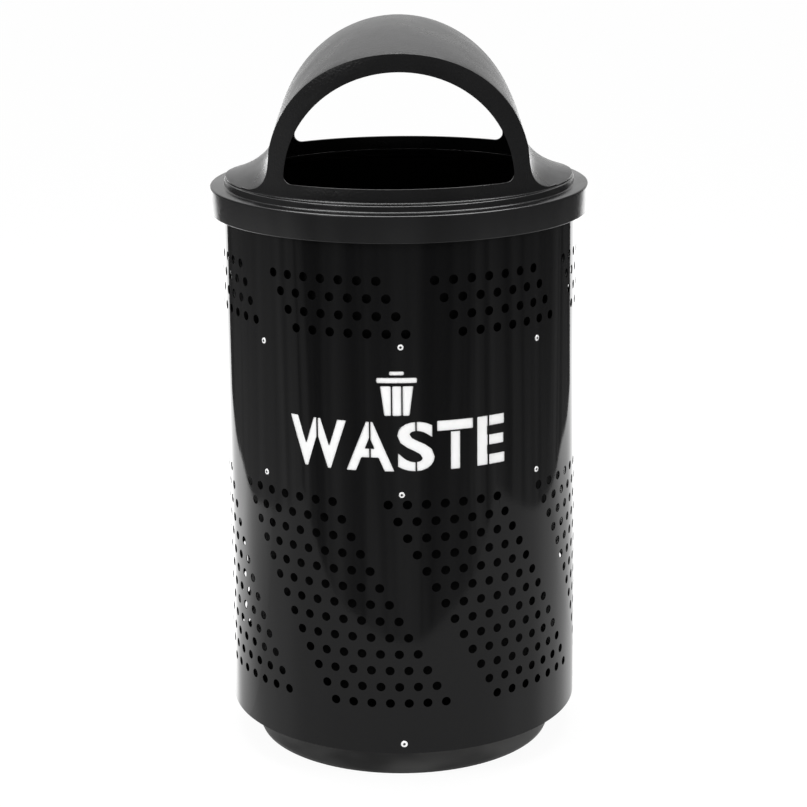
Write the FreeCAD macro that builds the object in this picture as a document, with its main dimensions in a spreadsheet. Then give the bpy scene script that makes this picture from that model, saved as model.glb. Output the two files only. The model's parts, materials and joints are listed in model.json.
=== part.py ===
import FreeCAD, Part
import math
import os
import Sketcher

# A round outdoor trash can: a perforated steel shell on a recessed base ring,
# a white sign panel riveted behind its letters, a plastic liner that hangs
# from the shell's top edge and a moulded hood lid that rests on the liner's rim.
# Origin: centre of the foot, on the ground. +Z is up, the front faces -Y.

QUARTER_TURN = 90.0
FULL_TURN = 360.0
ALONG_X = FreeCAD.Vector(1, 0, 0)
UPWARD = FreeCAD.Vector(0, 0, 1)
AXIS_FOOT = FreeCAD.Vector(0, 0, 0)
ARCH_STEPS = 8
SHOULDER_STEPS = 4
STATION_SHARES = (-1.0, -0.5, 0.0, 0.5, 1.0)

doc = FreeCAD.newDocument("TrashCan")
sheet = doc.addObject("Spreadsheet::Sheet", "sizes")

DRIVING_SIZES = (
    ("shell_diameter", 610.0),
    ("shell_height", 913.0),
    ("shell_sheet", 1.5),
    ("plinth_drop", 60.0),
    ("skin_gap", 0.1),
    ("seat_gap", 0.2),
    ("cut_overrun", 5.0),
    ("hoop_height", 25.0),
    ("hoop_thickness", 4.0),
    ("hole_diameter", 15.5),
    ("hole_pitch", 31.54),
    ("hole_row_spacing", 29.1),
    ("hole_sides", 6),
    ("holes_per_row", 7),
    ("columns_per_patch", 9),
    ("upper_rows", 4),
    ("lower_rows", 13),
    ("upper_row_height", 875.0),
    ("lower_row_height", 499.2),
    ("upper_start_angle", -42.8),
    ("lower_start_angle", -57.6),
    ("seam_angle", 183.0),
    ("stave_count", 16),
    ("base_sheet", 2.0),
    ("base_recess", 2.0),
    ("base_flange_height", 33.0),
    ("plinth_top_diameter", 528.0),
    ("plinth_foot_diameter", 520.0),
    ("plinth_foot_round", 10.0),
    ("foot_flange_width", 45.0),
    ("anchor_circle", 470.0),
    ("anchor_hole", 13.0),
    ("anchor_count", 4),
    ("anchor_start_angle", 45.0),
    ("panel_sheet", 1.2),
    ("panel_half_angle", 51.0),
    ("panel_bottom_height", 511.0),
    ("panel_top_height", 777.5),
    ("rivet_shank", 4.8),
    ("rivet_clearance", 0.05),
    ("rivet_head", 9.9),
    ("rivet_head_height", 1.5),
    ("rivet_bulb", 7.2),
    ("rivet_bulb_length", 5.0),
    ("rivet_crown", 5.4),
    ("base_rivet_height", 77.0),
    ("base_rivet_count", 4),
    ("sign_rivet_angle", 47.8),
    ("sign_rivet_high", 755.0),
    ("sign_rivet_top", 766.0),
    ("sign_rivet_low", 528.0),
    ("sign_rivet_bottom", 516.5),
    ("liner_wall", 3.2),
    ("liner_top_gap", 2.4),
    ("liner_taper", 27.0),
    ("liner_floor_height", 96.0),
    ("liner_floor_round", 22.0),
    ("rim_diameter", 632.0),
    ("rim_lip_drop", 18.0),
    ("skirt_diameter", 649.0),
    ("skirt_height", 41.0),
    ("skirt_round", 5.0),
    ("lid_wall", 4.4),
    ("step_diameter", 599.0),
    ("step_height", 13.0),
    ("step_round", 3.0),
    ("hood_width", 594.0),
    ("hood_depth", 561.0),
    ("sill_height", 25.2),
    ("throat_ledge", 3.0),
    ("arch_radius", 217.4),
    ("crown_rise", 25.4),
    ("opening_radius", 188.2),
    ("opening_corner", 14.0),
    ("shoulder_reach", 150.0),
    ("shoulder_end_width", 522.0),
    ("shoulder_rise", 74.0),
    ("shoulder_rise_loss", 12.0),
    ("shoulder_bend", 7.5),
    ("shoulder_bend_gain", 12.5),
    ("shoulder_bend_out", 10.0),
    ("shoulder_lip", 6.0),
)

DERIVED_SIZES = (
    ("shell_radius", "=shell_diameter / 2"),
    ("shell_bore", "=shell_radius - shell_sheet"),
    ("shell_top", "=plinth_drop + shell_height"),
    ("lining_radius", "=shell_bore - skin_gap"),
    ("anchor_across", "=anchor_circle / 2 * cos(anchor_start_angle)"),
    ("anchor_along", "=anchor_circle / 2 * sin(anchor_start_angle)"),
    ("hoop_inner", "=lining_radius - hoop_thickness"),
    ("hoop_bottom", "=shell_top - hoop_height"),
    ("flange_inner", "=lining_radius - base_sheet"),
    ("shelf_under", "=plinth_drop + base_recess"),
    ("shelf_over", "=shelf_under + base_sheet"),
    ("flange_top", "=shelf_under + base_flange_height"),
    ("plinth_top_outer", "=plinth_top_diameter / 2"),
    ("plinth_top_inner", "=plinth_top_outer - base_sheet"),
    ("plinth_foot_outer", "=plinth_foot_diameter / 2"),
    ("plinth_foot_inner", "=plinth_foot_outer - base_sheet"),
    ("foot_flange_inner", "=plinth_foot_outer - foot_flange_width"),
    ("panel_inner", "=lining_radius - panel_sheet"),
    ("rim_under", "=shell_top + seat_gap"),
    ("rim_top", "=rim_under + liner_wall"),
    ("rim_outer", "=rim_diameter / 2"),
    ("rim_lip_inner", "=rim_outer - liner_wall"),
    ("rim_lip_bottom", "=rim_top - rim_lip_drop"),
    ("liner_top_outer", "=hoop_inner - liner_top_gap"),
    ("liner_top_inner", "=liner_top_outer - liner_wall"),
    ("liner_foot_outer", "=liner_top_outer - liner_taper"),
    ("liner_foot_inner", "=liner_foot_outer - liner_wall"),
    ("liner_floor_top", "=liner_floor_height + liner_wall"),
    ("ledge_under", "=rim_top + seat_gap"),
    ("ledge_top", "=ledge_under + lid_wall"),
    ("skirt_bottom", "=ledge_top - skirt_height"),
    ("skirt_outer", "=skirt_diameter / 2"),
    ("skirt_inner", "=skirt_outer - lid_wall"),
    ("step_outer", "=step_diameter / 2"),
    ("step_inner", "=step_outer - lid_wall"),
    ("step_top", "=ledge_top + step_height"),
    ("step_under", "=step_top - lid_wall"),
    ("throat_radius", "=hood_depth / 2 - lid_wall - throat_ledge"),
    ("sill_top", "=step_top + sill_height"),
)

for row, (name, value) in enumerate(DRIVING_SIZES + DERIVED_SIZES, start=1):
    sheet.set("A%d" % row, name)
    sheet.set("B%d" % row, str(value))
    sheet.setAlias("B%d" % row, name)
doc.recompute()


def size(name):
    return float(sheet.get(name))


def count(name):
    return int(sheet.get(name))


def bind(feature, field, name):
    feature.setExpression(field, "sizes.%s" % name)


def own_plane(body, role):
    return next(item for item in body.Origin.OriginFeatures if item.Role == role)


def profile(body, name, corners):
    """Closed outline on the body's XZ plane; each corner is (radius, height) by name."""
    sketch = body.newObject("Sketcher::SketchObject", name)
    sketch.AttachmentSupport = (own_plane(body, "XZ_Plane"), [""])
    sketch.MapMode = "FlatFace"
    points = []
    for radius, height in corners:
        across = size(radius) if radius else 0.0
        up = size(height) if height else 0.0
        points.append(FreeCAD.Vector(across, up, 0))
    for place, start in enumerate(points):
        sketch.addGeometry(Part.LineSegment(start, points[(place + 1) % len(points)]), False)
    for place in range(len(points)):
        following = (place + 1) % len(points)
        sketch.addConstraint(Sketcher.Constraint("Coincident", place, 2, following, 1))
    for place, (radius, height) in enumerate(corners):
        pin(sketch, place, "DistanceX", radius, points[place].x, -2)
        pin(sketch, place, "DistanceY", height, points[place].y, -1)
    return sketch


def pin(sketch, place, kind, name, value, axis):
    if name:
        spot = sketch.addConstraint(Sketcher.Constraint(kind, -1, 1, place, 1, value))
        bind(sketch, "Constraints[%d]" % spot, name)
    else:
        sketch.addConstraint(Sketcher.Constraint("PointOnObject", place, 1, axis))


def lathe(name, corners):
    body = doc.addObject("PartDesign::Body", name)
    sketch = profile(body, name + "_profile", corners)
    turned = body.newObject("PartDesign::Revolution", name + "_turned")
    turned.Profile = sketch
    turned.ReferenceAxis = (sketch, ["V_Axis"])
    sketch.Visibility = False
    doc.recompute()
    return body, turned


def circles_at(shape, places):
    """Names of the full circles of a turned shape at the named radii and heights."""
    found = []
    for number, edge in enumerate(shape.Edges, start=1):
        if not isinstance(edge.Curve, Part.Circle):
            continue
        for radius, height in places:
            level = size(height) if height else 0.0
            same_radius = math.isclose(edge.Curve.Radius, size(radius), rel_tol=1e-6)
            same_level = math.isclose(edge.Curve.Center.z, level, abs_tol=1e-6)
            if same_radius and same_level:
                found.append("Edge%d" % number)
    return found


def round_circles(body, name, places, radius_name):
    base = body.Tip
    fillet = body.newObject("PartDesign::Fillet", name)
    fillet.Base = (base, circles_at(base.Shape, places))
    bind(fillet, "Radius", radius_name)
    doc.recompute()
    return fillet


def facing(shape, angle, height):
    """A shape made along +X, turned to an angle from the front and lifted to a height."""
    placed = shape.copy()
    placed.rotate(AXIS_FOOT, UPWARD, angle - QUARTER_TURN)
    placed.translate(FreeCAD.Vector(0, 0, height))
    return placed


def kept_shape(name, shape):
    feature = doc.addObject("Part::Feature", name)
    feature.Shape = shape
    return feature


def cut(name, base, tool):
    feature = doc.addObject("Part::Cut", name)
    feature.Base = base
    feature.Tool = tool
    return feature


# Rivet places, as an angle from the front and a height
sign_side = size("sign_rivet_angle")
SIGN_RIVETS = (
    (-sign_side, size("sign_rivet_high")),
    (0.0, size("sign_rivet_top")),
    (sign_side, size("sign_rivet_high")),
    (-sign_side, size("sign_rivet_low")),
    (0.0, size("sign_rivet_bottom")),
    (sign_side, size("sign_rivet_low")),
)
base_rivet_step = FULL_TURN / count("base_rivet_count")
base_rivet_height = size("base_rivet_height")
BASE_RIVETS = tuple(
    (number * base_rivet_step, base_rivet_height) for number in range(count("base_rivet_count"))
)


def rivet_holes(places):
    """Drills for the rivets, each with its angle from the front."""
    length = size("hoop_thickness") + size("cut_overrun") + size("cut_overrun")
    start = FreeCAD.Vector(size("shell_radius") + size("cut_overrun") - length, 0, 0)
    radius = size("rivet_shank") / 2 + size("rivet_clearance")
    drill = Part.makeCylinder(radius, length, start, ALONG_X)
    return [(angle, facing(drill, angle, height)) for angle, height in places]


def rivet_drills(places):
    return Part.makeCompound([hole for _, hole in rivet_holes(places)])


def patch_sites(rows, start_angle, first_height):
    """Hole sites of one band: patches of holes_per_row that lean by half a pitch a row."""
    pitch_angle = math.degrees(size("hole_pitch") / size("shell_radius"))
    patch_angle = pitch_angle * count("columns_per_patch")
    patches = math.floor(FULL_TURN / patch_angle)
    first_patch = -math.floor((patches - 1) / 2)
    sites = []
    for patch in range(first_patch, first_patch + patches):
        for row in range(rows):
            for column in range(count("holes_per_row")):
                angle = start_angle + patch * patch_angle + (column + row / 2) * pitch_angle
                sites.append((angle, first_height - row * size("hole_row_spacing")))
    return sites


def perforations():
    sides = count("hole_sides")
    depth = size("shell_sheet") + size("cut_overrun") + size("cut_overrun")
    start = size("shell_radius") + size("cut_overrun") - depth
    turn = 2 * math.pi / sides
    radius = size("hole_diameter") / 2 * math.sqrt(turn / math.sin(turn))
    corners = [
        FreeCAD.Vector(start, radius * math.sin(turn * corner), radius * math.cos(turn * corner))
        for corner in range(sides)
    ]
    face = Part.Face(Part.makePolygon(corners + corners[:1]))
    punch = face.extrude(FreeCAD.Vector(depth, 0, 0))
    upper = patch_sites(count("upper_rows"), size("upper_start_angle"), size("upper_row_height"))
    lower = patch_sites(count("lower_rows"), size("lower_start_angle"), size("lower_row_height"))
    return [(angle, facing(punch, angle, height)) for angle, height in upper + lower]


# Outer shell: a rolled sheet punched all round, open at both ends. It is punched stave
# by stave and joined, which is much quicker than one cut with every hole in it.
def stave(start_angle, width, holes):
    height = size("shell_height")
    foot = FreeCAD.Vector(0, 0, size("plinth_drop"))
    blank = Part.makeCylinder(size("shell_radius"), height, foot, UPWARD, width)
    blank = blank.cut(Part.makeCylinder(size("shell_bore"), height, foot, UPWARD))
    blank.rotate(AXIS_FOOT, UPWARD, start_angle - QUARTER_TURN)
    margin = math.degrees(size("hole_diameter") / size("shell_bore"))
    reach = width + 2 * margin
    near = [hole for angle, hole in holes if (angle - start_angle + margin) % FULL_TURN < reach]
    return blank.cut(near)


def punched_sheet():
    holes = perforations() + rivet_holes(SIGN_RIVETS) + rivet_holes(BASE_RIVETS)
    staves = count("stave_count")
    width = FULL_TURN / staves
    pieces = [stave(size("seam_angle") + number * width, width, holes) for number in range(staves)]
    return pieces[0].multiFuse(pieces[1:])


outer_shell = kept_shape("outer_shell", punched_sheet())

# Rim hoop: a flat bar rolled into a ring that stiffens the shell's top edge
rim_hoop, _ = lathe(
    "rim_hoop",
    (
        ("hoop_inner", "hoop_bottom"),
        ("lining_radius", "hoop_bottom"),
        ("lining_radius", "shell_top"),
        ("hoop_inner", "shell_top"),
    ),
)

# Recessed base: one pressed ring. Its top flange is riveted in the shell, its wall is the
# plinth and its foot flange stands on the ground and takes the anchor bolts.
base_body, _ = lathe(
    "base_pressing",
    (
        ("foot_flange_inner", None),
        ("plinth_foot_outer", None),
        ("plinth_top_outer", "shelf_under"),
        ("lining_radius", "shelf_under"),
        ("lining_radius", "flange_top"),
        ("flange_inner", "flange_top"),
        ("flange_inner", "shelf_over"),
        ("plinth_top_inner", "shelf_over"),
        ("plinth_foot_inner", "base_sheet"),
        ("foot_flange_inner", "base_sheet"),
    ),
)
round_circles(base_body, "foot_round", (("plinth_foot_outer", None),), "plinth_foot_round")


def anchor_pocket(body):
    sketch = body.newObject("Sketcher::SketchObject", "anchor_outline")
    sketch.AttachmentSupport = (own_plane(body, "XY_Plane"), [""])
    sketch.MapMode = "FlatFace"
    centre = FreeCAD.Vector(size("anchor_across"), size("anchor_along"), 0)
    sketch.addGeometry(Part.Circle(centre, UPWARD, size("anchor_hole") / 2), False)
    spot = sketch.addConstraint(Sketcher.Constraint("Diameter", 0, size("anchor_hole")))
    bind(sketch, "Constraints[%d]" % spot, "anchor_hole")
    spot = sketch.addConstraint(Sketcher.Constraint("DistanceX", -1, 1, 0, 3, size("anchor_across")))
    bind(sketch, "Constraints[%d]" % spot, "anchor_across")
    spot = sketch.addConstraint(Sketcher.Constraint("DistanceY", -1, 1, 0, 3, size("anchor_along")))
    bind(sketch, "Constraints[%d]" % spot, "anchor_along")
    pocket = body.newObject("PartDesign::Pocket", "anchor_pocket")
    pocket.Profile = sketch
    pocket.Type = "ThroughAll"
    pocket.Reversed = True
    sketch.Visibility = False
    doc.recompute()
    return pocket


volume_before = base_body.Shape.Volume
first_anchor = anchor_pocket(base_body)
anchors = base_body.newObject("PartDesign::PolarPattern", "anchor_holes")
anchors.Originals = [first_anchor]
anchors.Axis = (own_plane(base_body, "Z_Axis"), [""])
anchors.Angle = FULL_TURN
bind(anchors, "Occurrences", "anchor_count")
base_body.Tip = anchors
doc.recompute()
if base_body.Shape.Volume >= volume_before:
    raise RuntimeError("the anchor holes cut nothing")
base_rivet_cut = kept_shape("base_rivet_cut", rivet_drills(BASE_RIVETS))
recessed_base = cut("recessed_base", base_body, base_rivet_cut)

# Sign backing panel: a rolled sheet behind the letters, riveted at six places
panel_body, panel_turned = lathe(
    "panel_sheet_metal",
    (
        ("panel_inner", "panel_bottom_height"),
        ("lining_radius", "panel_bottom_height"),
        ("lining_radius", "panel_top_height"),
        ("panel_inner", "panel_top_height"),
    ),
)
panel_turned.Midplane = True
panel_turned.setExpression("Angle", "sizes.panel_half_angle * 2")
panel_body.Placement.Rotation = FreeCAD.Rotation(UPWARD, -QUARTER_TURN)
panel_rivet_cut = kept_shape("panel_rivet_cut", rivet_drills(SIGN_RIVETS))
sign_backing_panel = cut("sign_backing_panel", panel_body, panel_rivet_cut)


def rivet(grip):
    """A blind rivet along +X: low head outside, shank through the grip, set bulb inside."""
    seat = size("shell_radius") + size("rivet_clearance")
    crest = size("shell_radius") + size("rivet_head_height")
    head = size("rivet_head") / 2
    crown = size("rivet_crown") / 2
    shank = size("rivet_shank") / 2
    bulb = size("rivet_bulb") / 2
    tail = size("shell_radius") - grip
    tail_end = tail - size("rivet_bulb_length")
    outline = Part.makePolygon(
        [
            FreeCAD.Vector(along, 0, out)
            for along, out in (
                (crest, 0),
                (crest, crown),
                (seat, head),
                (seat, shank),
                (tail, shank),
                (tail, bulb),
                (tail_end, shank),
                (tail_end, 0),
                (crest, 0),
            )
        ]
    )
    return Part.Face(outline).revolve(AXIS_FOOT, ALONG_X, FULL_TURN)


sheet_gap = size("skin_gap") + size("rivet_clearance") + size("rivet_clearance")
base_grip = size("shell_sheet") + size("base_sheet") + sheet_gap
sign_grip = size("shell_sheet") + size("panel_sheet") + sheet_gap
base_rivet = rivet(base_grip)
sign_rivet = rivet(sign_grip)
all_base_rivets = Part.makeCompound([facing(base_rivet, *place) for place in BASE_RIVETS])
all_sign_rivets = Part.makeCompound([facing(sign_rivet, *place) for place in SIGN_RIVETS])
base_rivets = kept_shape("base_rivets", all_base_rivets)
sign_rivets = kept_shape("sign_rivets", all_sign_rivets)

# Liner: a tapered plastic bin whose turned-down rim hooks over the shell's top edge
liner, _ = lathe(
    "liner",
    (
        (None, "liner_floor_height"),
        ("liner_foot_outer", "liner_floor_height"),
        ("liner_top_outer", "rim_under"),
        ("rim_lip_inner", "rim_under"),
        ("rim_lip_inner", "rim_lip_bottom"),
        ("rim_outer", "rim_lip_bottom"),
        ("rim_outer", "rim_top"),
        ("liner_top_inner", "rim_top"),
        ("liner_foot_inner", "liner_floor_top"),
        (None, "liner_floor_top"),
    ),
)
round_circles(liner, "liner_foot_round", (("liner_foot_outer", "liner_floor_height"),), "liner_floor_round")


def shoulder_share(station):
    """1 over the middle of the hood, falling to 0 where the shoulders run out."""
    return max(0.0, 1 - (station / size("shoulder_reach")) ** 2)


def curve_through(points):
    curve = Part.BSplineCurve()
    curve.interpolate(points)
    return curve.toShape()


def hood_section(station, inset):
    """Cross-section of the hood at a station along Y, drawn inset by a wall for the inside."""
    crown = size("crown_rise") * (1 - (station / (size("hood_depth") / 2)) ** 2)
    share = shoulder_share(station)
    ring = size("step_top")
    radius = size("arch_radius") - inset
    spring = ring + size("shoulder_rise") - size("shoulder_rise_loss") * share
    rise = size("arch_radius") + crown - inset
    centre = size("sill_top")
    spring_angle = math.acos((spring - centre) / rise)
    end_half = size("shoulder_end_width") / 2
    toe = end_half + (size("hood_width") / 2 - end_half) * share + size("cut_overrun")
    toe_height = ring + size("shoulder_lip") * share - inset
    bend_height = ring + size("shoulder_bend") + size("shoulder_bend_gain") * share - inset
    foot = ring - size("lid_wall") / 2 - inset

    def spot(across, up):
        return FreeCAD.Vector(across, station, up)

    def arch(angle):
        return spot(radius * math.sin(angle), centre + rise * math.cos(angle))

    def shoulder(part, hand):
        start = arch(spring_angle)
        bend = spot(start.x + size("shoulder_bend_out"), bend_height)
        end = spot(toe, toe_height)
        point = start * (1 - part) ** 2 + bend * (2 * part * (1 - part)) + end * part ** 2
        return spot(hand * point.x, point.z)

    steps = range(ARCH_STEPS + 1)
    arch_points = [arch(spring_angle * (2 * step / ARCH_STEPS - 1)) for step in steps]
    crown_edge = curve_through(arch_points)
    steps = range(SHOULDER_STEPS + 1)
    right_edge = curve_through([shoulder(step / SHOULDER_STEPS, 1) for step in steps])
    left_edge = curve_through([shoulder(1 - step / SHOULDER_STEPS, -1) for step in steps])
    right_toe = spot(toe, toe_height)
    left_toe = spot(-toe, toe_height)
    right_foot = spot(toe, foot)
    left_foot = spot(-toe, foot)
    base = Part.makePolygon([right_toe, right_foot, left_foot, left_toe])
    return Part.Wire([left_edge, crown_edge, right_edge] + base.Edges)


def hood_block(inset):
    """The hood's outside (inset 0) or its hollow: a vault cut by an oval wall all round."""
    reach = size("hood_depth") / 2 + size("cut_overrun")
    sections = [hood_section(share * reach, inset) for share in STATION_SHARES]
    vault = Part.makeLoft(sections, True, False)
    long_half = size("hood_width") / 2 - inset
    short_half = size("hood_depth") / 2 - inset
    low = FreeCAD.Vector(0, 0, size("step_under") - size("lid_wall"))
    oval = Part.Ellipse(low, long_half, short_half)
    wall = Part.Face(Part.Wire(oval.toShape())).extrude(FreeCAD.Vector(0, 0, size("hood_width")))
    return vault.common(wall)


def d_opening():
    radius = size("opening_radius")
    reach = size("hood_depth")
    height = size("sill_top")
    left = FreeCAD.Vector(-radius, -reach, height)
    right = FreeCAD.Vector(radius, -reach, height)
    top = FreeCAD.Vector(0, -reach, height + radius)
    outline = Part.Wire([Part.Arc(left, top, right).toShape(), Part.makeLine(right, left)])
    block = Part.Face(outline).extrude(FreeCAD.Vector(0, reach + reach, 0))
    corners = [
        edge for edge in block.Edges
        if math.isclose(edge.BoundBox.ZLength, 0, abs_tol=1e-6)
        and math.isclose(edge.BoundBox.XLength, 0, abs_tol=1e-6)
        and math.isclose(edge.BoundBox.ZMax, height, abs_tol=1e-6)
    ]
    return block.makeFillet(size("opening_corner"), corners)


def lid_ring():
    """The deep skirt, the ledge that rests on the liner's rim and the step up to the hood."""
    outline = Part.makePolygon(
        [
            FreeCAD.Vector(size(radius), 0, size(height))
            for radius, height in (
                ("skirt_outer", "skirt_bottom"),
                ("skirt_outer", "ledge_top"),
                ("step_outer", "ledge_top"),
                ("step_outer", "step_top"),
                ("throat_radius", "step_top"),
                ("throat_radius", "step_under"),
                ("step_inner", "step_under"),
                ("step_inner", "ledge_under"),
                ("skirt_inner", "ledge_under"),
                ("skirt_inner", "skirt_bottom"),
                ("skirt_outer", "skirt_bottom"),
            )
        ]
    )
    ring = Part.Face(outline).revolve(AXIS_FOOT, UPWARD, FULL_TURN)
    ring = ring.makeFillet(size("skirt_round"), circle_edges(ring, (("skirt_outer", "ledge_top"),)))
    return ring.makeFillet(size("step_round"), circle_edges(ring, (("step_outer", "step_top"),)))


def circle_edges(shape, places):
    return [shape.Edges[int(name[4:]) - 1] for name in circles_at(shape, places)]


# Hood lid: one hollow moulding with a D-shaped opening front and back
hood_shell = hood_block(0.0).cut(hood_block(size("lid_wall"))).cut(d_opening())
hood_lid = kept_shape("hood_lid", hood_shell.fuse(lid_ring()).removeSplitter())

doc.recompute()
SUB_PARTS = (
    outer_shell,
    rim_hoop,
    recessed_base,
    base_rivets,
    sign_backing_panel,
    sign_rivets,
    liner,
    hood_lid,
)
for item in doc.Objects:
    if "Invalid" in item.State or "Error" in item.State:
        raise RuntimeError("%s failed" % item.Name)
for part in SUB_PARTS:
    if part.Shape.isNull() or not part.Shape.isValid():
        raise RuntimeError("%s has no sound shape" % part.Label)
os.makedirs("parts", exist_ok=True)
for part in SUB_PARTS:
    part.Shape.exportStep(os.path.join("parts", part.Label + ".step"))
    print(part.Label, len(part.Shape.Solids), round(part.Shape.Volume))
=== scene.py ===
import bpy
import json
import math
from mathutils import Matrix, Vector

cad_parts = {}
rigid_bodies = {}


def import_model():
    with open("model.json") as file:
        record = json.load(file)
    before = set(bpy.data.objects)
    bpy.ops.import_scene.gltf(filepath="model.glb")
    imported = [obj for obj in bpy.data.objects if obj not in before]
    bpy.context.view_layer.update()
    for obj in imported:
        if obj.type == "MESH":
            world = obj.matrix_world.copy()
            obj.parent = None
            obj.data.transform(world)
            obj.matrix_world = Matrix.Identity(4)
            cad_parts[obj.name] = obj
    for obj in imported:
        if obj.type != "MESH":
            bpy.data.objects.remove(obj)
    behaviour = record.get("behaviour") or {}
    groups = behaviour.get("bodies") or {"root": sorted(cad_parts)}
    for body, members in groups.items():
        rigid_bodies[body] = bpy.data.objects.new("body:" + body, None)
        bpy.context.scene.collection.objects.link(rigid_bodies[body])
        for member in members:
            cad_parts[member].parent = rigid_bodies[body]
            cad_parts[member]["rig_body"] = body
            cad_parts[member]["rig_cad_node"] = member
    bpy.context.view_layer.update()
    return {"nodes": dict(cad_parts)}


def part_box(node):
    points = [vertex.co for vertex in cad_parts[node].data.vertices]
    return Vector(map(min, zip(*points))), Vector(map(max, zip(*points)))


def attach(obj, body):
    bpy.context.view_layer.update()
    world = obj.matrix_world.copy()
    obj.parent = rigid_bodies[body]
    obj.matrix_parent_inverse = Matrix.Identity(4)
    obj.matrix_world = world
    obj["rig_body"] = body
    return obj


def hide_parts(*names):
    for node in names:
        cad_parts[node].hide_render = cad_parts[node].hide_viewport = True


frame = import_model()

# Shell: one rolled sheet. A small turn keeps its upright edges off the rims of the holes
shell_low, shell_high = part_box("outer_shell")
SHELL_FOOT = shell_low.z
SHELL_TOP = shell_high.z
SHELL_RADIUS = 0.305
SHELL_SHEET = 0.0015
SHELL_SIDES = 720
SHELL_TURN = math.radians(0.13)

# Holes, in leaning patches round the shell. Each band: angle and height of its first hole, number of rows
HOLE_RADIUS = 0.00775
HOLE_SIDES = 20
HOLE_PITCH = 0.03154
HOLE_ROW_DROP = 0.0291
HOLES_PER_ROW = 7
HOLE_COLUMNS_PER_PATCH = 9
HOLE_BANDS = ((-42.8, 0.875, 4), (-57.6, 0.4992, 13))
PUNCH_DEPTH = 0.012

# Sign word. Each letter: weight, place along the shell, width, and bridges as (across, up, wide, tall)
LETTER_HEIGHT = 0.084
LETTER_LEVEL = 0.5985
LETTER_ROUNDING = 0.0012
LETTER_CURVE_STEPS = 5
LETTER_MERGE_DISTANCE = 0.0001
CUTTER_DEPTH = 0.02
BRIDGE_DEPTH = CUTTER_DEPTH * 2
BRIDGE = 0.0024
LETTERS = (
    ("W", 0.034, -0.144, 0.104, ((0, 0, BRIDGE, 0.12),)),
    ("A", 0.022, -0.052, 0.080, ((0, 0, BRIDGE, 0.12),)),
    ("S", 0.026, 0.024, 0.061, ((0, 0.035, BRIDGE, 0.028), (0, -0.035, BRIDGE, 0.028))),
    ("T", 0.034, 0.090, 0.062, ((0, 0.0235, 0.04, BRIDGE),)),
    ("E", 0.034, 0.155, 0.053, ((-0.0055, 0, BRIDGE, 0.12),)),
)

# Bin sign over the word, drawn round its own middle. Each piece: across, up, wide, tall
BIN_ALONG = -0.007
BIN_LEVEL = 0.69
BIN_ROUNDING = 0.0018
BIN_BODY = (0, -0.014, 0.054, 0.05)
BIN_BODY_FOOT = -0.03
BIN_BODY_TAPER = 0.76
BIN_BRIDGES = ((-0.0085, -0.014, BRIDGE, 0.06), (0.0085, -0.014, BRIDGE, 0.06))
BIN_LID = (0, 0.0205, 0.066, 0.009)
BIN_HANDLE = (0, 0.0325, 0.024, 0.0065)

# Rivets: each place is an angle from the front and a height
SIGN_RIVETS = ((-47.8, 0.755), (0.0, 0.766), (47.8, 0.755), (-47.8, 0.528), (0.0, 0.5165), (47.8, 0.528))
SIGN_RIVET_GRIP = 0.0029
SIGN_RIVET_HEAD = 0.0049
BASE_RIVETS = tuple((90.0 * side, 0.077) for side in range(4))
BASE_RIVET_GRIP = 0.0037
BASE_RIVET_HEAD = 0.0058
# Inside this radius, the lower wall of a rivet's hole and the stem in it take painted shade
RIVET_PAINTED_SHADE_RADIUS = 0.0021
RIVET_SIDES = 32

# Lid: a deep skirt, a ledge on the liner's rim, a step, and the hood's oval foot on the step
SKIRT_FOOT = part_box("hood_lid")[0].z
SKIRT_RADIUS = 0.3245
LEDGE = SKIRT_FOOT + 0.0452
STEP = LEDGE + 0.0112
STEP_FOOT_RADIUS = 0.3
STEP_RADIUS = 0.2992
STEP_BORE = 0.2948
RING_BORE = 0.2731
LID_WALL = 0.0044
LID_SIDES = 256
FOOT_FILLET = 0.0025
FOOT_FILLET_REACH = FOOT_FILLET * 1.4
FOOT_FILLET_BACK = 0.002
FOOT_FILLET_SINK = 0.0003
FOOT_RADIUS = 0.28055
FOOT_HALF_WIDTH = 0.29705
FOOT_END = 0.262
VAULT_ROUNDING = 0.0024
VAULT_LIFT = 0.00005
VAULT_SINK = 0.001

LINER_ROUNDING = 0.0012
MERGE_DISTANCE = 0.00001


# Bench work: picking, joining, cutting and finishing pieces
def pick(piece):
    bpy.ops.object.select_all(action="DESELECT")
    piece.select_set(True)
    bpy.context.view_layer.objects.active = piece


def edit_all(piece):
    """Opens a piece in edit mode, with all of it selected."""
    pick(piece)
    bpy.ops.object.mode_set(mode="EDIT")
    bpy.ops.mesh.select_all(action="SELECT")


def end_edit():
    bpy.ops.object.mode_set(mode="OBJECT")


def settle(piece, name):
    """The finished piece keeps its place in its mesh, with its object at the origin."""
    pick(piece)
    bpy.ops.object.transform_apply(location=True, rotation=True, scale=True)
    piece.name = name
    piece.data.name = name
    return piece


def apply_all(piece):
    pick(piece)
    for modifier in list(piece.modifiers):
        bpy.ops.object.modifier_apply(modifier=modifier.name)


def joined(pieces):
    bpy.ops.object.select_all(action="DESELECT")
    for piece in pieces:
        piece.select_set(True)
    bpy.context.view_layer.objects.active = pieces[0]
    bpy.ops.object.join()
    return pieces[0]


def merge(piece, distance=MERGE_DISTANCE):
    edit_all(piece)
    bpy.ops.mesh.remove_doubles(threshold=distance)
    end_edit()


def smooth(piece, angle=35):
    pick(piece)
    bpy.ops.object.shade_smooth_by_angle(angle=math.radians(angle))


def round_edges(piece, width, segments, angle):
    """Rounds the edges that are sharper than an angle."""
    bevel = piece.modifiers.new("round_edges", "BEVEL")
    bevel.limit_method = "ANGLE"
    bevel.angle_limit = math.radians(angle)
    bevel.width = width
    bevel.segments = segments
    apply_all(piece)


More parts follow.
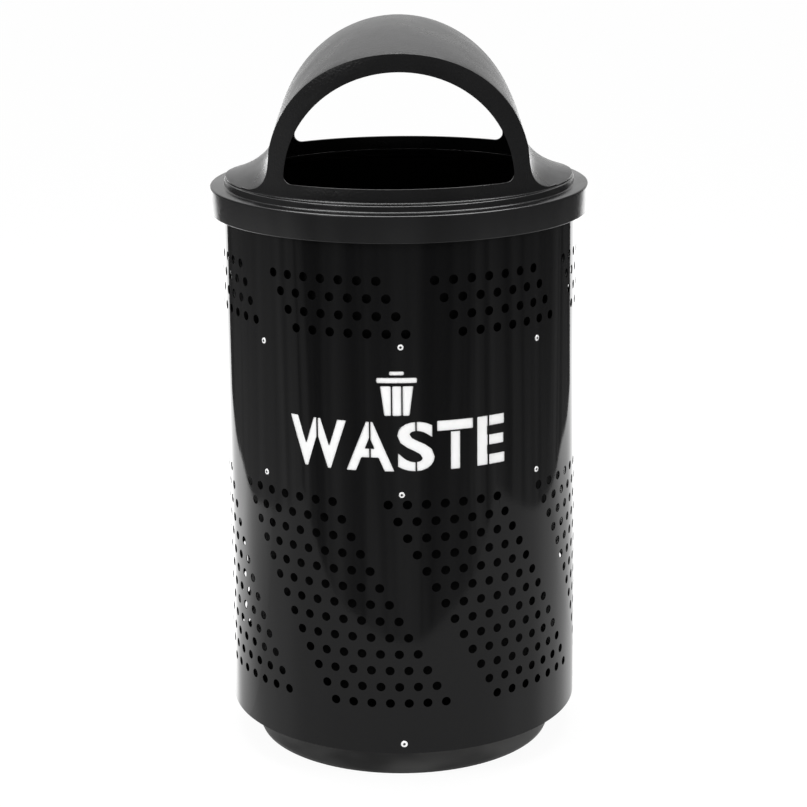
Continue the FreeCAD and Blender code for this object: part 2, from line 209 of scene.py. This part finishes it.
def cut_with(piece, cutter):
    cut = piece.modifiers.new("cut", "BOOLEAN")
    cut.operation = "DIFFERENCE"
    cut.solver = "MANIFOLD"
    cut.object = cutter
    apply_all(piece)
    bpy.data.objects.remove(cutter, do_unlink=True)


def without_flakes(piece):
    """Keeps the largest of a piece's loose parts, and drops the flakes that a cut leaves."""
    edit_all(piece)
    bpy.ops.mesh.separate(type="LOOSE")
    end_edit()
    *flakes, kept = sorted(bpy.context.selected_objects, key=lambda part: len(part.data.polygons))
    for flake in flakes:
        bpy.data.objects.remove(flake, do_unlink=True)
    return kept


def dress(piece, made):
    piece.data.materials.clear()
    piece.data.materials.append(made)


# Shader wiring
def span_of(tree, source, low, high, at_low, at_high):
    """Maps a value from low..high to at_low..at_high."""
    span = tree.nodes.new("ShaderNodeMapRange")
    for name, value in (("From Min", low), ("From Max", high), ("To Min", at_low), ("To Max", at_high)):
        span.inputs[name].default_value = value
    tree.links.new(source, span.inputs["Value"])
    return span.outputs["Result"]


def combined(tree, operation, first, second):
    """The product, or the greater, of two values, the second of which may be a plain number."""
    worked = tree.nodes.new("ShaderNodeMath")
    worked.operation = operation
    tree.links.new(first, worked.inputs[0])
    if isinstance(second, float):
        worked.inputs[1].default_value = second
    else:
        tree.links.new(second, worked.inputs[1])
    return worked.outputs[0]


def shown_or_reflected(tree):
    """Is 1 for what the picture, a reflection or a see-through piece shows, and 0 for what only lights the object."""
    path = tree.nodes.new("ShaderNodeLightPath")
    shown = combined(tree, "MAXIMUM", path.outputs["Is Camera Ray"], path.outputs["Is Glossy Ray"])
    return combined(tree, "MAXIMUM", shown, path.outputs["Is Transmission Ray"])


def blend_of(tree, share, first, second):
    blend = tree.nodes.new("ShaderNodeMixShader")
    tree.links.new(share, blend.inputs["Fac"])
    tree.links.new(first.outputs[0], blend.inputs[1])
    tree.links.new(second.outputs[0], blend.inputs[2])
    return blend.outputs[0]


def object_place(tree):
    return tree.nodes.new("ShaderNodeTexCoord").outputs["Object"]


def noise_of(tree, scale, stretch, detail):
    """Noise on the object's own coordinates, stretched where a finish runs along one way."""
    along = tree.nodes.new("ShaderNodeMapping")
    along.inputs["Scale"].default_value = stretch
    noise = tree.nodes.new("ShaderNodeTexNoise")
    noise.inputs["Scale"].default_value = scale
    noise.inputs["Detail"].default_value = detail
    tree.links.new(object_place(tree), along.inputs["Vector"])
    tree.links.new(along.outputs["Vector"], noise.inputs["Vector"])
    return noise.outputs["Fac"]


# Finishes. Most of a noise lies between these values
NOISE_SPREAD = (0.3, 0.7)
NOISE_MIDDLE = (0.35, 0.65)
COAT_IOR = 1.45


def finish(name, colour, roughness, ior=1.5, metallic=0.0, gloss=0.5):
    made = bpy.data.materials.new(name)
    made.use_nodes = True
    shader = made.node_tree.nodes["Principled BSDF"]
    shader.inputs["Base Color"].default_value = (*colour, 1)
    shader.inputs["Roughness"].default_value = roughness
    shader.inputs["IOR"].default_value = ior
    shader.inputs["Specular IOR Level"].default_value = gloss
    shader.inputs["Metallic"].default_value = metallic
    return made


def speckle(made, scale, stretch=(1, 1, 1), detail=3.0):
    return noise_of(made.node_tree, scale, stretch, detail)


def vary_roughness(made, source, low, high):
    tree = made.node_tree
    varied = span_of(tree, source, *NOISE_SPREAD, low, high)
    tree.links.new(varied, tree.nodes["Principled BSDF"].inputs["Roughness"])


def vary_colour(made, source, dark, light):
    tree = made.node_tree
    ramp = tree.nodes.new("ShaderNodeValToRGB")
    for stop, position, colour in zip(ramp.color_ramp.elements, NOISE_MIDDLE, (dark, light)):
        stop.position = position
        stop.color = (*colour, 1)
    tree.links.new(source, ramp.inputs["Fac"])
    tree.links.new(ramp.outputs["Color"], tree.nodes["Principled BSDF"].inputs["Base Color"])


def relief(made, layers):
    """Chains bumps, each a (noise, depth in metres) pair."""
    tree = made.node_tree
    normal = None
    for source, depth in layers:
        bump = tree.nodes.new("ShaderNodeBump")
        bump.inputs["Distance"].default_value = depth
        tree.links.new(source, bump.inputs["Height"])
        if normal:
            tree.links.new(normal, bump.inputs["Normal"])
        normal = bump.outputs["Normal"]
    tree.links.new(normal, tree.nodes["Principled BSDF"].inputs["Normal"])


gloss_coat = finish("black_powder_coat", (0.0035, 0.0035, 0.0037), 0.1, COAT_IOR, gloss=0.22)
vary_roughness(gloss_coat, speckle(gloss_coat, 9, (1, 1, 0.25)), 0.03, 0.09)
relief(gloss_coat, ((speckle(gloss_coat, 7, (1, 1, 0.1), 1.0), 0.009), (speckle(gloss_coat, 420), 0.00002)))

base_coat = finish("black_base_coat", (0.02, 0.02, 0.02), 0.3, COAT_IOR, gloss=0.18)
vary_roughness(base_coat, speckle(base_coat, 7), 0.38, 0.55)
vary_colour(base_coat, speckle(base_coat, 6.5, (1, 1, 2.5), 2.0), (0.014, 0.014, 0.014), (0.056, 0.056, 0.055))
relief(base_coat, ((speckle(base_coat, 300), 0.00004),))

hood_plastic = finish("black_moulded_plastic", (0.006, 0.006, 0.0063), 0.2, COAT_IOR, gloss=0.35)
vary_roughness(hood_plastic, speckle(hood_plastic, 14), 0.25, 0.33)
relief(hood_plastic, ((speckle(hood_plastic, 260, detail=2.0), 0.0006),))

ring_plastic = finish("black_moulded_ring_plastic", (0.0085, 0.0085, 0.0088), 0.2, COAT_IOR, gloss=0.42)
vary_roughness(ring_plastic, speckle(ring_plastic, 14), 0.17, 0.25)
relief(ring_plastic, ((speckle(ring_plastic, 260, detail=2.0), 0.0002),))

liner_plastic = finish("black_liner_plastic", (0.002, 0.002, 0.002), 0.5, COAT_IOR, gloss=0.1)
relief(liner_plastic, ((speckle(liner_plastic, 160), 0.0001),))

white_coat = finish("white_panel_coat", (0.86, 0.86, 0.86), 0.4)
vary_colour(white_coat, speckle(white_coat, 30), (0.84, 0.84, 0.835), (0.88, 0.88, 0.88))
relief(white_coat, ((speckle(white_coat, 350), 0.00003),))

rivet_aluminium = finish("rivet_aluminium", (0.93, 0.93, 0.93), 0.4, metallic=0.3)
vary_roughness(rivet_aluminium, speckle(rivet_aluminium, 900), 0.32, 0.5)

# Steel stem of the rivet, painted near black as the shade in the rivet's hole
rivet_stem_painted_shade = finish("rivet_stem_steel_painted_shade", (0.012, 0.012, 0.012), 0.5, metallic=0.3)
vary_roughness(rivet_stem_painted_shade, speckle(rivet_stem_painted_shade, 900), 0.4, 0.6)

# Camera: at the photograph's viewing angle
CAMERA_PLACE = (0.0011, -3.8874, 1.6678)
CAMERA_TURN = (1.330486, 0.009285, -0.003387)
CAMERA_LENS = 102.143
CAMERA_SHIFT = -0.0874
bpy.ops.object.camera_add(location=CAMERA_PLACE, rotation=CAMERA_TURN)
camera = bpy.context.object
camera.data.lens = CAMERA_LENS
camera.data.shift_y = CAMERA_SHIFT
bpy.context.scene.camera = camera
bpy.context.scene.view_settings.view_transform = "Standard"

# Pale floor, which keeps some of its own shading, so that the object's shadow stays
FLOOR_SPAN = 60
FLOOR_COLOUR = (0.85, 0.85, 0.85, 1)
FLOOR_GLOW = 1.05
FLOOR_GLOW_SHARE = 0.88
bpy.ops.mesh.primitive_plane_add(size=FLOOR_SPAN)
floor = bpy.context.object
floor.name = "floor"
floor_finish = bpy.data.materials.new("pale_floor")
floor_finish.use_nodes = True
tree = floor_finish.node_tree
tree.nodes.clear()
matt = tree.nodes.new("ShaderNodeBsdfDiffuse")
matt.inputs["Color"].default_value = FLOOR_COLOUR
glow = tree.nodes.new("ShaderNodeEmission")
glow.inputs["Strength"].default_value = FLOOR_GLOW
glow_share = combined(tree, "MULTIPLY", shown_or_reflected(tree), FLOOR_GLOW_SHARE)
out = tree.nodes.new("ShaderNodeOutputMaterial")
tree.links.new(blend_of(tree, glow_share, matt, glow), out.inputs["Surface"])
floor.data.materials.append(floor_finish)

# Room: white where it is seen, and dimmer as a light
WHITE = (1, 1, 1, 1)
ROOM_LIGHT = 0.65
world = bpy.data.worlds.new("studio")
bpy.context.scene.world = world
world.use_nodes = True
tree = world.node_tree
dim = tree.nodes["Background"]
dim.inputs["Color"].default_value = WHITE
dim.inputs["Strength"].default_value = ROOM_LIGHT
white = tree.nodes.new("ShaderNodeBackground")
white.inputs["Color"].default_value = WHITE
white.inputs["Strength"].default_value = 1.0
tree.links.new(blend_of(tree, shown_or_reflected(tree), dim, white), tree.nodes["World Output"].inputs["Surface"])


def softbox(name, place, aim, wide, tall, power):
    bpy.ops.object.light_add(type="AREA", location=place)
    lamp = bpy.context.object
    lamp.name = name
    lamp.data.shape = "RECTANGLE"
    lamp.data.size = wide
    lamp.data.size_y = tall
    lamp.data.energy = power
    lamp.visible_camera = False
    lamp.rotation_mode = "QUATERNION"
    lamp.rotation_quaternion = (Vector(aim) - Vector(place)).to_track_quat("-Z", "Y")


softbox("overhead_softbox", (0, 0.6, 3.4), (0, 0, 1.0), 2.6, 1.2, 60)
softbox("left_softbox", (-2.6, -2.6, 2.6), (0, 0, 0.7), 1.2, 1.2, 60)
softbox("right_softbox", (2.6, -2.6, 2.6), (0, 0, 0.7), 1.2, 1.2, 40)


# What the glossy coats and the plastic reflect: cards, bright floor and curtains
FLOOR_LIGHT_DEPTH = 12
FLOOR_LIGHT_HEIGHT = 0.002
CURTAIN_HEIGHT = 2.4
CURTAIN_MIDDLE = CURTAIN_HEIGHT / 2
CURTAIN_FRONT = -0.6
CURTAIN_REAR = 1.4
CURTAIN_FOLD_SCALE = 3.6
CURTAIN_FOLD_STRETCH = (1, 1, 0.08)


def reflected_sheet(name, place, tilt, turn, wide, deep):
    """A flat sheet that only reflections show. It lights nothing and is not in the picture."""
    bpy.ops.mesh.primitive_plane_add(size=1, location=place, rotation=(math.radians(tilt), 0, math.radians(turn)))
    piece = bpy.context.object
    piece.scale = (wide, deep, 1)
    settle(piece, name)
    piece.visible_camera = False
    piece.visible_diffuse = False
    piece.visible_transmission = False
    piece.visible_shadow = False
    return piece


def light_card(name, place, tilt, wide, deep, strength):
    """A flat card for the rounded edges and the level faces to reflect."""
    card = reflected_sheet(name, place, tilt, 0, wide, deep)
    glow = bpy.data.materials.new(name + "_glow")
    glow.use_nodes = True
    shader = glow.node_tree.nodes["Principled BSDF"]
    shader.inputs["Base Color"].default_value = (0, 0, 0, 1)
    shader.inputs["Emission Color"].default_value = WHITE
    shader.inputs["Emission Strength"].default_value = strength
    card.data.materials.append(glow)
    return glow.node_tree, shader.inputs["Emission Strength"]


def floor_light(name, middle, wide, front, full, near, far):
    """The bright floor beside and behind the object. It rises from near, at the front, to far."""
    place = (middle, front + FLOOR_LIGHT_DEPTH / 2, FLOOR_LIGHT_HEIGHT)
    tree, strength = light_card(name, place, 0, wide, FLOOR_LIGHT_DEPTH, near)
    spot = tree.nodes.new("ShaderNodeSeparateXYZ")
    tree.links.new(object_place(tree), spot.inputs["Vector"])
    tree.links.new(span_of(tree, spot.outputs["Y"], front, full, near, far), strength)


def studio_curtain(name, place, turn, wide, dim, bright, rear_share, top_share):
    """A dark curtain at the edge of the pale floor, in soft upright folds. It falls off to rear_share of its
    brightness towards the back and to top_share a metre up."""
    curtain = reflected_sheet(name, place, 90, turn, wide, CURTAIN_HEIGHT)
    cloth = bpy.data.materials.new(name + "_cloth")
    cloth.use_nodes = True
    tree = cloth.node_tree
    tree.nodes.clear()
    spot = tree.nodes.new("ShaderNodeSeparateXYZ")
    tree.links.new(object_place(tree), spot.inputs["Vector"])
    folds = noise_of(tree, CURTAIN_FOLD_SCALE, CURTAIN_FOLD_STRETCH, 3.0)
    strength = span_of(tree, folds, *NOISE_MIDDLE, dim, bright)
    towards_back = span_of(tree, spot.outputs["Y"], CURTAIN_FRONT, CURTAIN_REAR, 1, rear_share)
    upwards = span_of(tree, spot.outputs["Z"], 0, 1, 1, top_share)
    strength = combined(tree, "MULTIPLY", combined(tree, "MULTIPLY", strength, towards_back), upwards)
    glow = tree.nodes.new("ShaderNodeEmission")
    out = tree.nodes.new("ShaderNodeOutputMaterial")
    tree.links.new(strength, glow.inputs["Strength"])
    tree.links.new(glow.outputs[0], out.inputs["Surface"])
    curtain.data.materials.append(cloth)


light_card("overhead_card", (0, -0.1, 3.3), 180, 3.4, 2.6, 11)
light_card("back_card", (0, 2.4, 2.2), 90, 4.8, 2.0, 0.66)
floor_light("left_floor_light", -2.165, 3.67, -0.05, 0.7, 1.1, 2.9)
floor_light("right_floor_light", 2, 4, 0.4, 2.2, 1.0, 2.7)
studio_curtain("front_curtain", (0, -0.96, CURTAIN_MIDDLE), 0, 3.24, 0.2, 0.85, 1, 0.2)
studio_curtain("left_curtain", (-1.62, 0.47, CURTAIN_MIDDLE), 90, 2.86, 0.6, 1.05, 0.15, 0.35)
studio_curtain("right_curtain", (1.62, 0.47, CURTAIN_MIDDLE), 90, 2.86, 0.25, 0.7, 0.25, 0.3)


# Ways of shaping
def place_on_shell(angle, height):
    turn = math.radians(angle)
    return Vector((SHELL_RADIUS * math.sin(turn), -SHELL_RADIUS * math.cos(turn), height))


def faced_out(angle):
    """The turn that lays a flat piece, drawn looking down, against the shell at an angle from the front."""
    return (math.radians(90), 0, math.radians(angle))


def repeat(piece, copies, turn, lift):
    """Copies a punch along a row, down the rows or round the shell, by a turn and a lift."""
    bpy.ops.object.empty_add(rotation=(0, 0, turn), location=(0, 0, lift))
    step = bpy.context.object
    array = piece.modifiers.new("repeat", "ARRAY")
    array.count = copies
    array.use_relative_offset = False
    array.use_object_offset = True
    array.offset_object = step
    apply_all(piece)
    bpy.data.objects.remove(step, do_unlink=True)


def slab(across, up, wide, tall, deep=CUTTER_DEPTH):
    bpy.ops.mesh.primitive_cube_add(size=1, location=(across, up, 0), scale=(wide, tall, deep))
    return settle(bpy.context.object, "slab")


def raised_circle(name, rings, sides, fill):
    """A circle raised ring by ring round +Z from (radius, height) pairs, left in edit mode and all selected."""
    (radius, height), *others = rings
    bpy.ops.object.select_all(action="DESELECT")
    bpy.ops.mesh.primitive_circle_add(vertices=sides, radius=radius, fill_type=fill, location=(0, 0, height))
    piece = settle(bpy.context.object, name)
    edit_all(piece)
    for wider, higher in others:
        bpy.ops.mesh.extrude_region_move(TRANSFORM_OT_translate={"value": (0, 0, higher - height)})
        bpy.ops.transform.resize(value=(wider / radius, wider / radius, 1), center_override=(0, 0, higher))
        radius, height = wider, higher
    bpy.ops.mesh.select_all(action="SELECT")
    return piece


def turned(name, rings, sides):
    """A turned solid along +Z."""
    piece = raised_circle(name, rings, sides, "NGON")
    bpy.ops.mesh.normals_make_consistent(inside=False)
    end_edit()
    return piece


def eased(corners, steps=5):
    """A closed outline of right-angled corners, each (radius, height, rounding), with the corners rounded."""
    points = []
    for place, (radius, height, ease) in enumerate(corners):
        here = Vector((radius, height))
        back = (Vector(corners[place - 1][:2]) - here).normalized() * ease
        onward = (Vector(corners[(place + 1) % len(corners)][:2]) - here).normalized() * ease
        for step in range(steps + 1 if ease else 1):
            turn = math.radians(90) * step / steps
            points.append(here + back + onward - onward * math.cos(turn) - back * math.sin(turn))
    return points


def turned_ring(name, corners, sides):
    """A ring round +Z, whose closed outline is raised loop by loop and merged with its start."""
    outline = eased(corners)
    piece = raised_circle(name, outline + outline[:1], sides, "NOTHING")
    bpy.ops.mesh.remove_doubles(threshold=MERGE_DISTANCE)
    bpy.ops.mesh.normals_make_consistent(inside=False)
    end_edit()
    return piece


def softened(node, name, width, segments=2, angle=35):
    """A CAD piece with its sharp edges rounded, on a copy of its mesh with the doubles merged."""
    pick(frame["nodes"][node])
    bpy.ops.object.duplicate()
    piece = bpy.context.object
    bpy.ops.object.parent_clear(type="CLEAR_KEEP_TRANSFORM")
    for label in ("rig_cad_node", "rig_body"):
        if label in piece:
            del piece[label]
    settle(piece, name)
    merge(piece)
    round_edges(piece, width, segments, angle)
    smooth(piece, angle)
    return piece


# Perforated shell: a rolled sheet, punched in leaning patches, with the sign cut through it
def punched_band(start_angle, first_height, rows):
    pitch = HOLE_PITCH / SHELL_RADIUS
    patch = pitch * HOLE_COLUMNS_PER_PATCH
    bpy.ops.mesh.primitive_cylinder_add(
        vertices=HOLE_SIDES, radius=HOLE_RADIUS, depth=PUNCH_DEPTH,
        location=place_on_shell(start_angle, first_height), rotation=faced_out(start_angle),
    )
    punch = settle(bpy.context.object, "hole_punch")
    repeat(punch, HOLES_PER_ROW, pitch, 0)
    repeat(punch, rows, pitch / 2, -HOLE_ROW_DROP)
    patches = math.floor(2 * math.pi / patch)
    punch.rotation_euler = (0, 0, -patch * ((patches - 1) // 2))
    settle(punch, "hole_punch")
    repeat(punch, patches, patch, 0)
    return punch


def bridged(piece, bridges):
    """Takes the thin bridges that stay in the sheet out of a cutter."""
    for bridge in bridges:
        cut_with(piece, slab(*bridge, BRIDGE_DEPTH))
    return piece


def against_shell(piece, along, up):
    """Stands a flat cutter on the shell, along the arc from the front and up from the ground."""
    angle = math.degrees(along / SHELL_RADIUS)
    piece.location = place_on_shell(angle, up)
    piece.rotation_euler = faced_out(angle)
    return settle(piece, "sign_cutter")


def letter_cutter(letter, weight, along, wide, bridges):
    """One stencil letter, less the bridges that hold its islands and stiffen the sheet."""
    bpy.ops.object.text_add()
    piece = bpy.context.object
    piece.data.body = letter
    piece.data.offset = weight
    piece.data.extrude = 0.5
    piece.data.resolution_u = LETTER_CURVE_STEPS
    pick(piece)
    bpy.ops.object.convert(target="MESH")
    merge(piece, LETTER_MERGE_DISTANCE)
    bpy.ops.object.origin_set(type="ORIGIN_GEOMETRY", center="BOUNDS")
    piece.location = (0, 0, 0)
    natural = piece.dimensions.copy()
    piece.scale = (wide / natural.x, LETTER_HEIGHT / natural.y, CUTTER_DEPTH / natural.z)
    settle(piece, "letter")
    round_edges(piece, LETTER_ROUNDING, 2, 50)
    return against_shell(bridged(piece, bridges), along, LETTER_LEVEL)


def bin_cutters():
    """The bin sign over the word: a tapered body with two bridges through it, its lid and its handle."""
    body = slab(*BIN_BODY)
    edit_all(body)
    bpy.ops.mesh.select_all(action="DESELECT")
    end_edit()
    for corner in body.data.vertices:
        corner.select = corner.co.y < BIN_BODY_FOOT
    bpy.ops.object.mode_set(mode="EDIT")
    bpy.ops.transform.resize(value=(BIN_BODY_TAPER, 1, 1), center_override=(0, 0, 0))
    end_edit()
    parts = [bridged(body, BIN_BRIDGES), slab(*BIN_LID), slab(*BIN_HANDLE)]
    for piece in parts:
        round_edges(piece, BIN_ROUNDING, 3, 30)
    return [against_shell(piece, BIN_ALONG, BIN_LEVEL) for piece in parts]


bpy.ops.mesh.primitive_cylinder_add(
    vertices=SHELL_SIDES, radius=SHELL_RADIUS, depth=SHELL_TOP - SHELL_FOOT, end_fill_type="NOTHING",
    location=(0, 0, (SHELL_FOOT + SHELL_TOP) / 2), rotation=(0, 0, SHELL_TURN),
)
shell = settle(bpy.context.object, "perforated_shell")
sheet = shell.modifiers.new("sheet", "SOLIDIFY")
sheet.thickness = SHELL_SHEET
sheet.offset = -1
apply_all(shell)
sign_cutters = [letter_cutter(*letter) for letter in LETTERS] + bin_cutters()
punches = joined([punched_band(*band) for band in HOLE_BANDS] + sign_cutters)
cut_with(shell, punches)
shell = settle(without_flakes(shell), "perforated_shell")
edit_all(shell)
bpy.ops.mesh.quads_convert_to_tris(quad_method="BEAUTY", ngon_method="BEAUTY")
end_edit()
smooth(shell)
dress(shell, gloss_coat)
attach(shell, "receptacle")
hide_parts("outer_shell")


# Blind rivets, each turned from (radius, height) pairs
def rivet(grip, head):
    """The set bulb behind the sheets, the shank, a low domed head, and the broken stem in its hole."""
    bulb = ((0.0010, -grip - 0.0050), (0.0024, -grip - 0.0046), (0.0036, -grip - 0.0026), (0.0036, -grip - 0.0004))
    shank = ((0.0024, -grip), (0.0024, 0.00005))
    rim = ((head, 0.00006), (head, 0.0004))
    dome = ((head - 0.0002, 0.0008), (head - 0.0007, 0.0012), (head - 0.0015, 0.00145))
    hole = ((0.0026, 0.00145), (0.0022, 0.0012), (0.0020, 0.0003))
    stem = ((0.0015, 0.0003), (0.0014, 0.0006), (0.0008, 0.0007))
    made = turned("rivet", bulb + shank + rim + dome + hole + stem, RIVET_SIDES)
    made.data.materials.append(rivet_aluminium)
    made.data.materials.append(rivet_stem_painted_shade)
    # The lower wall of the hole and the stem get the near-black stem finish, which is painted shade for the hole
    for face in made.data.polygons:
        across = math.hypot(face.center.x, face.center.y)
        face.material_index = 1 if face.center.z > 0 and across < RIVET_PAINTED_SHADE_RADIUS else 0
    smooth(made, 40)
    return made


def set_rivets(name, grip, head, places, node):
    heads = []
    for angle, height in places:
        made = rivet(grip, head)
        made.location = place_on_shell(angle, height)
        made.rotation_euler = faced_out(angle)
        heads.append(settle(made, "rivet"))
    heads = settle(joined(heads), name)
    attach(heads, "receptacle")
    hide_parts(node)


set_rivets("sign_panel_rivets", SIGN_RIVET_GRIP, SIGN_RIVET_HEAD, SIGN_RIVETS, "sign_rivets")
set_rivets("base_ring_rivets", BASE_RIVET_GRIP, BASE_RIVET_HEAD, BASE_RIVETS, "base_rivets")

# Hood lid: one moulding, shown as its ring, with the deep skirt and the step, and the vault on top of it
lid_ring = turned_ring(
    "moulded_lid_ring",
    (
        (SKIRT_RADIUS, SKIRT_FOOT, 0.0014), (SKIRT_RADIUS, LEDGE, 0.0034), (STEP_FOOT_RADIUS, LEDGE, 0.0028),
        (STEP_RADIUS, STEP, 0.0028), (RING_BORE, STEP, 0.0003), (RING_BORE, STEP - LID_WALL, 0.0003),
        (STEP_BORE, STEP - LID_WALL, 0.001), (STEP_BORE, LEDGE - LID_WALL, 0.001),
        (SKIRT_RADIUS - LID_WALL, LEDGE - LID_WALL, 0.002), (SKIRT_RADIUS - LID_WALL, SKIRT_FOOT, 0.001),
    ),
    LID_SIDES,
)
smooth(lid_ring, 30)

# The hood's foot is an oval, wider than it is deep, and a small fillet runs along its front and its back
hood_foot = turned_ring(
    "hood_foot_fillet",
    (
        (FOOT_RADIUS + FOOT_FILLET_REACH, STEP - FOOT_FILLET_SINK, 0),
        (FOOT_RADIUS, STEP, FOOT_FILLET),
        (FOOT_RADIUS, STEP + FOOT_FILLET_REACH, 0),
        (FOOT_RADIUS - FOOT_FILLET_BACK, STEP + FOOT_FILLET_REACH, 0),
        (FOOT_RADIUS - FOOT_FILLET_BACK, STEP - FOOT_FILLET_SINK, 0),
    ),
    LID_SIDES,
)
hood_foot.scale = (FOOT_HALF_WIDTH / FOOT_RADIUS, 1, 1)
settle(hood_foot, "hood_foot_fillet")
for side in (-1, 1):
    edit_all(hood_foot)
    bpy.ops.mesh.bisect(plane_co=(side * FOOT_END, 0, 0), plane_no=(side, 0, 0), use_fill=True, clear_outer=True)
    end_edit()
smooth(hood_foot, 30)

# The vault is cut off just above the step, and its wall runs down a little into the ring
vault = softened("hood_lid", "moulded_hood_vault", VAULT_ROUNDING, segments=3)
edit_all(vault)
bpy.ops.mesh.bisect(plane_co=(0, 0, STEP + VAULT_LIFT), plane_no=(0, 0, 1), clear_inner=True)
bpy.ops.mesh.extrude_region_move(TRANSFORM_OT_translate={"value": (0, 0, -VAULT_SINK)})
bpy.ops.mesh.bridge_edge_loops()
bpy.ops.mesh.select_all(action="SELECT")
bpy.ops.mesh.normals_make_consistent(inside=False)
end_edit()
smooth(vault)
for piece, made in ((lid_ring, ring_plastic), (hood_foot, ring_plastic), (vault, hood_plastic)):
    dress(piece, made)
    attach(piece, "lid")
    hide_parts("hood_lid")

# Liner, with the rounded edges of moulded plastic
bin_liner = softened("liner", "hanging_liner", LINER_ROUNDING)
dress(bin_liner, liner_plastic)
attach(bin_liner, "liner_bin")
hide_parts("liner")

# Pieces that show as they are in the frame
dress(frame["nodes"]["rim_hoop"], gloss_coat)
dress(frame["nodes"]["recessed_base"], base_coat)
dress(frame["nodes"]["sign_backing_panel"], white_coat)
